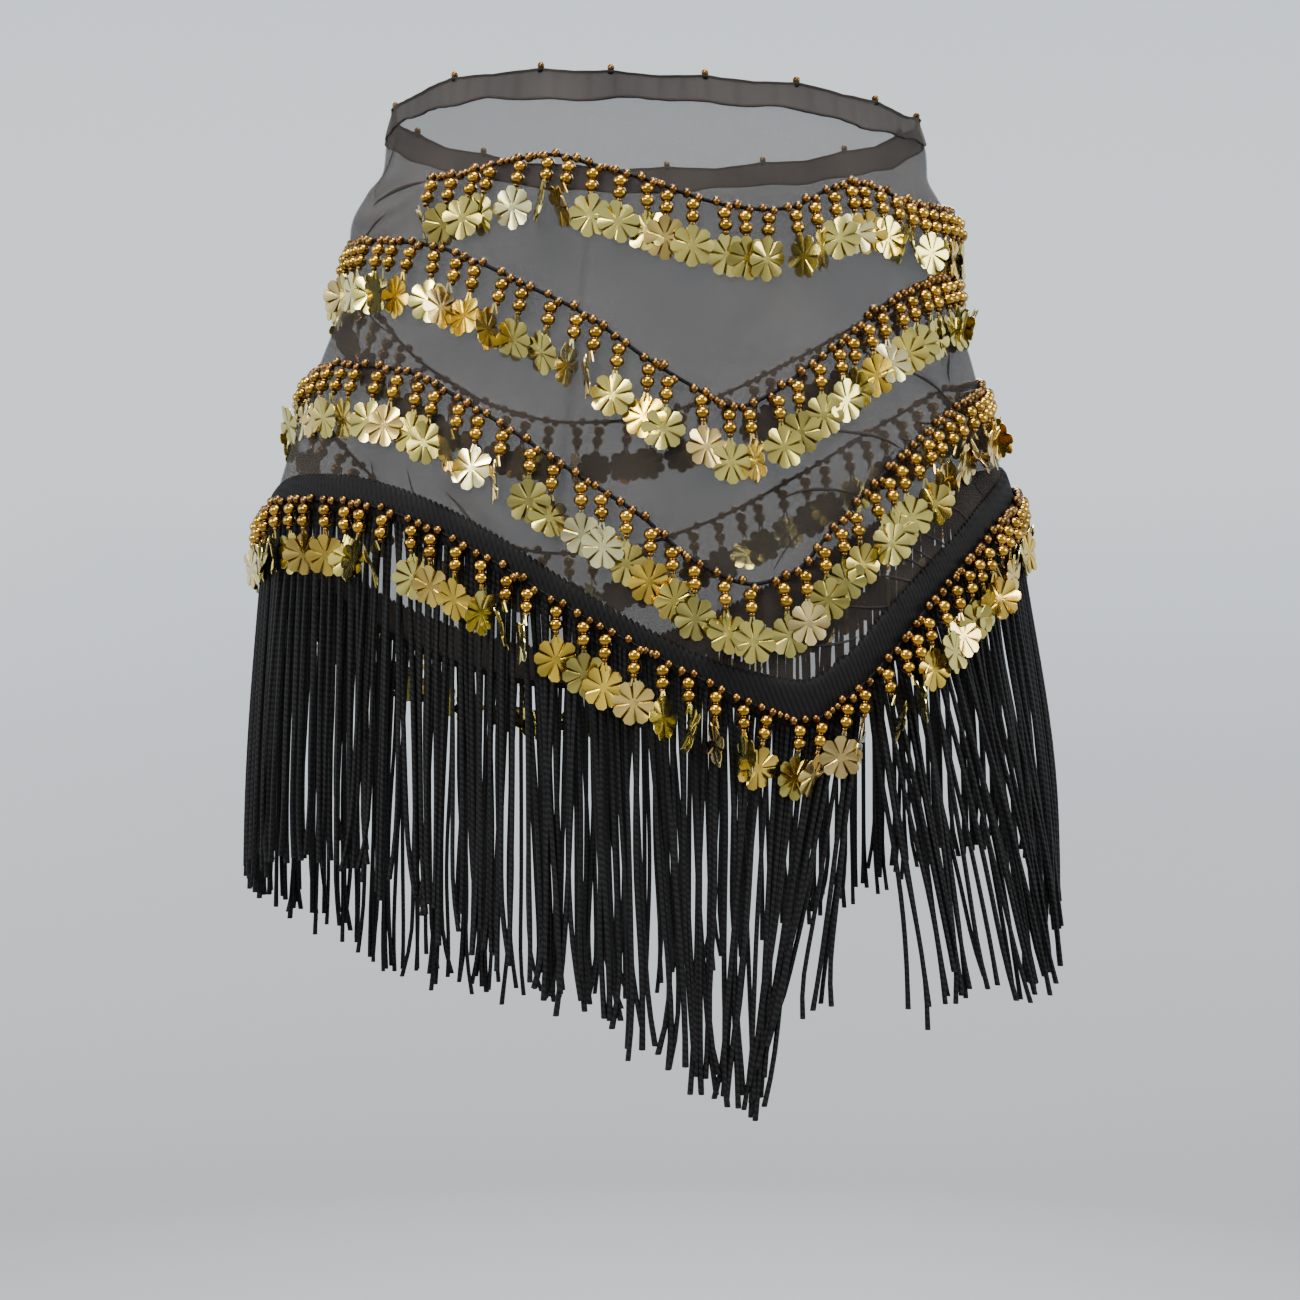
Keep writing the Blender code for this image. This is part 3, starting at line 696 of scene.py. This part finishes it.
def hangPoint(angle, line, out, fall, leanMore=0.0):
    # Down from the line, leaning with the fall and flaring as sin(quarter turn x fall / length) ^ 1.3
    length, lean, flare = (roundRead(hang, k, angle) for k in (1, 2, 3))
    level = lineLevel(line, angle)
    bent = np.sin(np.pi / 2 * np.clip(fall / length, 0, 1)) ** 1.3
    away = outOf(angle, level) * (flare * length * bent)[..., None]
    side = alongOf(angle, level) * ((lean + leanMore) * fall)[..., None]
    down = np.stack([0 * fall, 0 * fall, -fall], -1)
    return onForm(angle, level, out) + away + side + down


def ballShape(size, around, down, flat=1.0):
    # Sphere by latitude and longitude, its poles closed by triangles; z squashed by flat
    lat = np.pi * np.arange(1, down) / down
    lon = 2 * np.pi * np.arange(around) / around
    grid = np.stack([np.sin(lat)[:, None] * np.cos(lon), np.sin(lat)[:, None] * np.sin(lon),
                     np.broadcast_to(np.cos(lat)[:, None] * flat, (down - 1, around))], -1)
    points = np.concatenate([grid.reshape(-1, 3), [[0, 0, flat], [0, 0, -flat]]]) * size / 2
    ring, after = np.arange(around), np.roll(np.arange(around), -1)
    last, n = (down - 2) * around, (down - 1) * around
    faces = [gridFaces(down - 1, around, True, flip=True),
             np.stack([ring, after, 0 * ring + n], -1),
             np.stack([after + last, ring + last, 0 * ring + n + 1], -1)]
    # painted shade and dulling: a mark that rises towards the poles, where the holes are and neighbouring
    # beads meet
    hole = np.clip(np.abs(points[:, 2]) / (size * flat) * 2 - 0.35, 0, 1)
    return points, facingOut(points, faces), hole


def flowerShape(size, petals):
    # Flat six-cornered petals round a centre, each a little tilted, with V grooves between them;
    # the rim's reach over one petal dips to its least where a groove ends
    cuts = np.array([0.0, 0.11, 0.33, 0.67, 0.89])
    reach = np.tile([0.76, 0.89, 1.0, 1.0, 0.89], petals) * size / 2
    number = np.arange(petals)[:, None]
    turn = (2 * np.pi * (number + cuts - 0.5) / petals).ravel()
    off = (2 * np.pi * (cuts - 0.5) / petals)[None] + 0 * number
    slope, twist = 0.09 * np.sin(2.4 * number + 1), 0.12 * np.sin(3.7 * number + 0.4)
    radius = reach.reshape(petals, -1)
    high = 0.35 * mm + slope * radius + twist * radius * np.sin(off)
    high[:, 0] = -0.25 * mm
    inTurn = (2 * np.pi * (number + np.array([0.0, 0.25, 0.75]) - 0.5) / petals).ravel()
    centre = 0.21 * size / 2
    ring = np.stack([centre * np.sin(inTurn), 0 * inTurn - 0.35 * mm, centre * np.cos(inTurn)], -1)
    front = np.stack([reach * np.sin(turn), -high.ravel(), reach * np.cos(turn)], -1)
    back = np.stack([reach * np.sin(turn), 0.32 * mm - high.ravel(), reach * np.cos(turn)], -1)
    points = np.concatenate([front, back, ring])
    k, n = np.arange(petals), 5 * petals
    f, g = 5 * k, 2 * n + 3 * k
    before, gBefore = 5 * ((k - 1) % petals), 2 * n + 3 * ((k - 1) % petals)
    edge, after = np.arange(n), np.roll(np.arange(n), -1)
    faces = [np.stack([g + 1, f + 1, f + 2, f + 3, f + 4, g + 2], -1),
             np.stack([g, f, f + 1, g + 1], -1), np.stack([gBefore + 2, before + 4, f, g], -1),
             np.stack([edge, edge + n, after + n, after], -1),
             (2 * n + np.arange(3 * petals))[None], (n + edge[::-1])[None]]
    # marks the V grooves' points, where the finish paints shade into the colour
    groove = np.zeros(len(points))
    groove[f] = groove[g] = 1.0
    return points, facingOut(points, faces), groove


def prongShape():
    # Two slim bars that spread downwards, from the last bead to the flower's top petal
    corners = ((-0.38, -0.3), (0.38, -0.3), (0.38, 0.3), (-0.38, 0.3))
    points = [(side * x + dx, dy, z) for side in (-1, 1) for z, x in ((2.0, 0.35), (-2.2, 1.25))
              for dx, dy in corners]
    box = np.array([(0, 1, 2, 3), (7, 6, 5, 4), (0, 4, 5, 1), (1, 5, 6, 2), (2, 6, 7, 3), (3, 7, 4, 0)])
    points = np.array(points) * mm
    return points, facingOut(points, [np.concatenate([box, box + 8])])


def axesOf(angle, level, yaw=0.0, pitch=0.0, roll=0.0):
    # Columns are the drop's across, inward and up directions, turned by yaw, then pitch, then roll
    angle = np.asarray(angle, float)
    across, out = alongOf(angle, level), outOf(angle, level)
    up = np.broadcast_to([0.0, 0.0, 1.0], across.shape)
    yaw, pitch, roll = (np.radians(v) + 0 * angle for v in (yaw, pitch, roll))
    c, s = np.cos(yaw)[:, None], np.sin(yaw)[:, None]
    across, inward = across * c - out * s, -(out * c + across * s)
    c, s = np.cos(pitch)[:, None], np.sin(pitch)[:, None]
    inward, up = inward * c + up * s, up * c - inward * s
    c, s = np.cos(roll)[:, None], np.sin(roll)[:, None]
    across, up = across * c + up * s, up * c - across * s
    return np.stack([across, inward, up], -1)


def layRow(name, seed):
    # Places of a row's drops: drops per metre summed along its line, then read backwards at
    # nearly even counts
    rng = np.random.default_rng(seed)
    row = dict(rows[name], name=name, node=f"row_{name[3]}_drops", rng=rng, free=name == "row4")
    angles, length = lineLength(name, *row["span"])
    pitch = roundRead(np.array(drop["pitch"]), 1, angles) * row["closer"] * mm
    many = np.concatenate([[0], np.cumsum(np.diff(length) / (pitch[1:] + pitch[:-1]) * 2)])
    count = int(round(many[-1]))
    share = (np.arange(count) + 0.5 + rng.uniform(-drop["uneven"], drop["uneven"], count)) / count
    angle = np.interp(share * many[-1], many, angles)
    level = lineLevel(name, angle)
    rise = lineLevel(name, angle + 0.5) - lineLevel(name, angle - 0.5)
    run = np.linalg.norm(onForm(angle + 0.5, level) - onForm(angle - 0.5, level), axis=-1)
    row.update(angles=angles, length=length, count=count, angle=angle, level=level, slope=rise / run,
               sway=rng.normal(0, drop["sway"], count), seat=row["base"] + drop["beadSize"] / 2 + 0.5 * mm)
    return row


def threadPoint(row, fall, out, aside=0.0):
    # Point of each thread: fall below the line, out from the form, and aside + sway x fall along it
    angle, level = row["angle"], row["level"]
    fall = fall + 0 * angle
    if row["free"]:  # over the fringe the threads lean as its strands do
        place = hangPoint(angle, row["name"], out, fall)
    else:
        place = onForm(angle, level - fall, out)
    return place + alongOf(angle, level) * (aside + row["sway"] * fall)[..., None]


def makeBalls(name, shape, middles, axes, tones, finish, node):
    # One mesh of copies of a ball, each with its own tone
    ball, ballFaces, hole = shape
    points, faces = scatter(ball, ballFaces, middles, axes)
    makePiece(name, points, faces, finish, [node],
              marks={"tone": np.repeat(tones, len(ball)), "hole": np.tile(hole, len(middles))})


def makeGoldBeads(row):
    # Two squashed balls on each thread, turned and tipped by small random angles
    rng, many = row["rng"], 2 * row["count"]
    first, second = drop["beadFalls"]
    middles = [threadPoint(row, first, row["seat"]), threadPoint(row, second, row["seat"] + 0.2 * mm)]
    axes = axesOf(np.tile(row["angle"], 2), np.tile(row["level"], 2),
                  rng.uniform(0, 36, many), 0, rng.normal(0, 5, many))
    makeBalls(row["name"] + "Beads", ballShape(drop["beadSize"], 10, 6, 0.86),
              np.concatenate(middles), axes, rng.uniform(0, 1, many), beadGold, row["node"])


def makeSmallBeads(row):
    # A pair astride the cord along its slope, one below each gold bead, some more along the cord
    rng, count, angle, level = (row[key] for key in ("rng", "count", "angle", "level"))
    half = drop["smallSize"] * 0.56
    cordOut = row["base"] + drop["cordSize"] / 2 + 0.3 * mm
    slope = row["slope"] + rng.normal(0, 0.25, count)
    pair = [threadPoint(row, 0.1 * mm - side * half * slope, cordOut + 0.7 * mm, side * half)
            for side in (-1, 1)]
    necks = [threadPoint(row, fall, row["seat"]) for fall in drop["neckFalls"]]
    neck = np.full(2 * count, drop["neckSize"] / drop["smallSize"])
    size = np.concatenate([rng.uniform(0.92, 1.06, 2 * count), neck])
    axes = axesOf(np.tile(angle, 4), np.tile(level, 4), rng.uniform(0, 45, 4 * count), 0,
                  np.concatenate([rng.normal(90, 20, 2 * count), rng.normal(0, 8, 2 * count)]))
    gaps = np.flatnonzero(rng.random(count - 1) < drop["extraPairs"])
    strung = np.concatenate([angle[gaps] * (1 - t) + angle[gaps + 1] * t for t in (0.40, 0.61)])
    line = lineLevel(row["name"], strung)
    middles = np.concatenate(pair + necks + [onForm(strung, line, cordOut + 0.5 * mm)])
    axes = np.concatenate([axes, axesOf(strung, line, rng.uniform(0, 45, len(strung)), 0, 90)])
    size = np.concatenate([size, np.full(len(strung), 0.78)])
    makeBalls(row["name"] + "SmallBeads", ballShape(drop["smallSize"], 8, 5, 0.88), middles,
              axes * size[:, None, None], rng.uniform(0, 1, len(middles)), beadCopper, row["node"])


def makeFlowers(row):
    # Flowers on two prongs, turned about their threads, most on the slopes between front and side;
    # a few are edge-on, more of them where the last row falls
    rng, count, angle, level = (row[key] for key in ("rng", "count", "angle", "level"))
    yaw = rng.normal(0, 1, count) * (12 + 16 * np.sin(np.radians(2 * angle)) ** 2) + 6
    often = 0.12 + 0.38 * (np.abs(angle + 25) < 17) if row["free"] else 0.13
    edgeOn = (rng.random(count) < often) & (np.abs(np.sin(np.radians(angle))) < 0.82)
    yaw = np.where(edgeOn, rng.choice([-1, 1], count) * rng.uniform(55, 82, count), yaw)
    out = row["base"] + np.choose(np.arange(count) % 3, drop["layers"]) * mm + edgeOn * drop["edgeOnLift"]
    pitch = rng.normal(2, 10, count)
    sway = np.degrees(row["sway"])
    roll = rng.normal(0, 7, count) + sway + 45 * rng.integers(0, 8, count)
    flower, flowerFaces, groove = flowerShape(drop["flowerSize"], goldFinish["petals"])
    middles = threadPoint(row, drop["flowerFall"] * row["short"], out)
    points, faces = scatter(flower, flowerFaces, middles, axesOf(angle, level, yaw, pitch, roll))
    prong, prongFaces = prongShape()
    middles = threadPoint(row, drop["prongFall"] * row["short"], (row["seat"] + out) / 2)
    prongs, prongSets = scatter(prong, prongFaces, middles, axesOf(angle, level, yaw * 0.6, pitch, sway))
    flat = np.tile(flower[:, [0, 2]] / (drop["flowerSize"] / 2), (count, 1))
    plain = np.zeros((count * len(prong), 2))
    kinds = rng.choice(drop["tones"], count, p=drop["toneShares"])
    tone = np.clip(kinds + rng.normal(0, 0.04, count), 0, 1)
    makePiece(row["name"] + "Flowers", np.concatenate([points.reshape(-1, 3), prongs.reshape(-1, 3)]),
              faces + [f + points.size // 3 for f in prongSets], flowerGold, [row["node"]],
              uv=np.concatenate([flat, plain]), sharp=18,
              marks={"tone": np.concatenate([np.repeat(tone, len(flower)), np.repeat(tone, len(prong))]),
                     "groove": np.concatenate([np.tile(groove, count), plain[:, 0]])})


def makeRowCord(row):
    # Thin tube along the row's line, its radius varied by a sine
    closed, total = row["span"] == allRound, row["length"][-1]
    rings = int(total / drop["cordStep"])
    spread = (np.arange(rings) / rings if closed else np.linspace(0, 1, rings)) * total
    angle = np.interp(spread, row["length"], row["angles"])
    level = lineLevel(row["name"], angle)
    size = drop["cordSize"] * (drop["thinCord"] if row["free"] else 1.0)
    path = onForm(angle, level, row["base"] + size / 2 + 0.25 * mm)
    ahead = np.roll(path, -1, 0) - np.roll(path, 1, 0)
    if not closed:
        ahead[0], ahead[-1] = path[1] - path[0], path[-1] - path[-2]
    out = outOf(angle, level)
    across = np.cross(out, unit(ahead))
    radius = size / 2 * (1 + 0.05 * np.sin(np.arange(rings) * 1.7))
    points, faces, turned = tubes(path[None], radius[None], 6, across[None], out[None], closed)
    uv = np.stack([np.broadcast_to(spread[None, :, None], turned.shape), turned], -1)
    makePiece(row["name"] + "Cord", points, facingOut(points, faces), cordBlack,
              [row["node"]], uv=uv, wrap=total if closed else 0)


dropCount = 0
for seed, name in enumerate(rows, start=40):
    row = layRow(name, seed)
    makeGoldBeads(row)
    makeSmallBeads(row)
    makeFlowers(row)
    makeRowCord(row)
    dropCount += row["count"]
print("drops made:", dropCount)


def makeHemBeads():
    # Round beads on the top edge, each over a dark knot of thread
    angle = np.array(hemBeads["angles"], float)
    level = lineLevel("hem", angle) + edgeDip(angle)
    rng, many = np.random.default_rng(7), len(angle)
    axes = axesOf(angle, level, rng.uniform(0, 30, many), 0, 90 + rng.normal(0, 15, many))
    makeBalls("hemBeads", ballShape(hemBeads["size"], 12, 7, 0.9), onForm(angle, level + 1.2 * mm, 0.8 * mm),
              axes, rng.uniform(-0.2, 0.5, many), beadCopper, "top_hem")
    knot, knotFaces, _ = ballShape(hemBeads["knot"], 8, 6, 0.62)
    axes = axesOf(angle, level, 0, 0, rng.normal(0, 25, many))
    points, faces = scatter(knot, knotFaces, onForm(angle, level - 0.9 * mm, 1.0 * mm), axes)
    makePiece("hemKnots", points, faces, cordBlack, ["top_hem"], uv=points[..., [0, 2]])


makeHemBeads()
print("hem beads made")

# Braid and fringe
braid = {
    "loop": 2.9 * mm, "columns": 1770, "rows": 9, "scallop": 1.6 * mm, "rib": 0.42 * mm,
    "inside": 1.15 * mm, "outside": 1.35 * mm,  # how far out its back and its face begin
}


def makeBraid():
    # Band with a looped top edge: level gains |sin| of the loop; ribs slant over it as crossed sines
    shares = np.arange(braid["columns"]) / braid["columns"]
    angle = anglesAlong("row4", *allRound, shares)
    length = lineLength("row4", *allRound)[1][-1]
    loops = round(length / braid["loop"])
    beat = np.pi * loops * shares
    top = lineLevel("braidTop", angle) + braid["scallop"] * (np.abs(np.sin(beat)) - 0.5)
    low = lineLevel("row4", angle) - fringe["below"]
    down = np.linspace(0, 1, braid["rows"])[:, None]
    level = top + (low - top) * down
    around = np.broadcast_to(angle, level.shape)
    rib = np.abs(np.sin(beat + 2.2 * down * np.pi)) * np.sin(np.pi * np.clip(down * 1.02, 0, 1)) ** 0.4
    edge = 1 - np.exp(-down / 0.06) * 0.5
    outside = braid["outside"] + (fringe["header"] - 0.9 * mm) * edge + braid["rib"] * rib
    return ringShell("braidHeader", around, level, braid["inside"], outside, "row4", braidBlack,
                     "fringe_trim")


def fringePaths():
    # Strands fall from the braid in two staggered layers; slow waves along the line gather them in locks
    rng = np.random.default_rng(21)
    n = fringe["count"]
    share = (np.arange(n) + 0.5 + rng.uniform(-0.12, 0.12, n)) / n
    angle = anglesAlong("row4", *allRound, share)
    along = share * lineLength("row4", *allRound)[1][-1] / mm
    t = np.linspace(0, 1, fringe["rings"])[None, :]
    length = roundRead(hang, 1, angle) + rng.normal(0, 0.0032, n) + 0.003 * np.sin(angle * 1.3)
    fall = fringe["below"] - 1.5 * mm + (length[:, None] + 1.5 * mm) * t
    around = np.broadcast_to(angle[:, None], fall.shape)
    stray = (rng.random(n) < 0.10) * (np.abs(angle) < 46) * rng.choice([-2.4, 2.4], n)
    varies = roundRead(hang, 4, angle) * (rng.normal(0, 1, n) + stray)
    drift = sum(size * np.sin(2 * np.pi * along / step + phase) for size, step, phase in fringe["locks"])
    bow, waves, phases = (rng.uniform(a, b, n)[:, None] for a, b in ((0.2, 1.5), (3, 9), (0, 6)))
    bend = bow * np.sin(t * waves + phases)
    tip = np.clip(rng.standard_t(3, n) * 1.7, -6, 6)[:, None] * np.clip((t - 0.8) / 0.2, 0, 1) ** 2
    twin = np.where(np.arange(n) % 2, 1, -1)[:, None]
    aside = drift[:, None] * t ** 0.8 + bend * t + tip - 0.5 * twin * np.clip(t * 3, 0, 1)
    lay = 0.9 * twin * np.clip(t * 6, 0, 1) + rng.normal(0, 0.8, n)[:, None] * t + 0.35 * bend * t
    side, out = (turned(around, lineLevel("row4", around)) for turned in (alongOf, outOf))
    path = hangPoint(around, "row4", braid["outside"] + fringe["header"] / 2, fall, varies[:, None])
    return path + side * aside[..., None] * mm + out * lay[..., None] * mm, side, out, fall, rng


def makeFringe():
    # Tube round each strand's path, its radius varied from strand to strand and wider at the cut end
    path, side, out, fall, rng = fringePaths()
    t = np.linspace(0, 1, fringe["rings"])[None, :]
    radius = fringe["radius"] * (1 + rng.normal(0, 0.06, len(fall))[:, None] + 0 * t)
    radius = radius * np.where(t > 0.995, 1.12, 1.0)
    points, faces, turned = tubes(path, radius, fringe["sides"], side, out)
    uv = np.stack([np.broadcast_to(fall[..., None], turned.shape), turned], -1)
    return makePiece("fringeStrands", points, facingOut(points, faces), fringeBlack,
                     ["fringe_trim"], uv=uv, sharp=60)


braidHeader = makeBraid()
fringeStrands = makeFringe()
print("braid and fringe made")

# Studio and camera
studio = {
    "floor": -1.02, "radius": 2.7, "bend": 0.6, "wall": 1.7, "sides": 96,
    "floorPaint": (0.52, 0.53, 0.54, 1), "wallPaint": (0.90, 0.94, 0.965, 1),
    "darkFloor": (0.22, 0.22, 0.22, 1), "darkWall": (0.84, 0.85, 0.86, 1),
    "air": (0.78, 0.84, 0.90, 1), "airStrength": 0.68, "aim": (0, 0, -0.2),
    # place, size, power and colour of each light; all face the aim
    "lights": {
        "softTop": ((0.1, -0.5, 1.45), 1.1, 57, (1.0, 0.99, 0.97)),
        "softFront": ((-0.9, -1.7, 0.75), 0.7, 34, (1.0, 0.98, 0.95)),
        "softRight": ((1.7, -0.5, 0.3), 1.1, 22, (0.95, 0.98, 1.0)),
        "softLeft": ((-1.75, -0.35, 0.3), 1.0, 14, (0.97, 0.99, 1.0)),
        "softBack": ((0.3, 1.7, 0.9), 1.0, 31, (0.97, 0.99, 1.0)),
    },
}


def makeStudio():
    # Round floor that bends up into a wall: a profile of a flat, a quarter circle and an upright, spun
    bend = np.radians(np.linspace(0, 90, 13))
    flat, low, sides = studio["radius"] - studio["bend"], studio["floor"], studio["sides"]
    radius = np.concatenate([[0.4, 1.2], flat + studio["bend"] * np.sin(bend), [studio["radius"]]])
    height = np.concatenate([[low, low], low + studio["bend"] * (1 - np.cos(bend)), [studio["wall"]]])
    turn = 2 * np.pi * np.arange(sides) / sides
    grid = np.stack([radius[:, None] * np.cos(turn), radius[:, None] * np.sin(turn),
                     np.broadcast_to(height[:, None], (len(height), sides))], -1)
    points = np.concatenate([grid.reshape(-1, 3), [[0, 0, low]]])
    ring, after = np.arange(sides), np.roll(np.arange(sides), -1)
    mesh = bpy.data.meshes.new("studioFloor")
    mesh.from_pydata(points.tolist(), [], gridFaces(len(height), sides, True).tolist()
                     + np.stack([ring, 0 * ring + len(points) - 1, after], -1).tolist())
    mesh.shade_smooth()
    floor = addObject("studioFloor", mesh)
    # painted paler from the floor up and darker on the near side, with a faint roller grain; the darker floor
    # and the darker near side are painted shade, which the metals also reflect
    material, start, plug = newFinish("studioPaint")
    place = start.place()
    high, deep = place.part(2), place.part(1)
    rise = ((high - low) * 0.9 + place.noise(60.0, 1.0) * 0.03).held()
    far = rise.mix(studio["floorPaint"], studio["wallPaint"])
    near = (rise ** 1.3).mix(studio["darkFloor"], studio["darkWall"])
    plug(Base_Color=(0.3 - deep * 0.4).held().mix(far, near), Roughness=0.9, Specular_IOR_Level=0.1)
    mesh.materials.append(material)
    floor.visible_diffuse = False  # light that has bounced once leaves the studio, which keeps renders short


def addLight(name, place, size, power, colour):
    # Round soft light that faces the aim and stays out of the picture
    light = bpy.data.lights.new(name, "AREA")
    light.shape, light.size, light.energy, light.color = "DISK", size, power, colour
    lamp = addObject(name, light)
    ahead = unit(np.array(studio["aim"]) - np.array(place))
    lamp.visible_camera = False
    lamp.location = place
    lamp.rotation_euler = (math.acos(-ahead[2]), 0, math.atan2(ahead[0], -ahead[1]) + math.pi)


makeStudio()
for name, values in studio["lights"].items():
    addLight(name, *values)
world = bpy.data.worlds.new("studioAir")
world.use_nodes = True
world.node_tree.nodes["Background"].inputs["Color"].default_value = studio["air"]
world.node_tree.nodes["Background"].inputs["Strength"].default_value = studio["airStrength"]
bpy.context.scene.world = world

view = {"place": (-0.00235, -1.0, -0.24675), "lens": 58.92}
camera = addObject("camera", bpy.data.cameras.new("camera"))
camera.location = view["place"]
camera.rotation_euler = (math.pi / 2, 0, 0)
camera.data.lens = view["lens"]
bpy.context.scene.camera = camera
print("studio made")
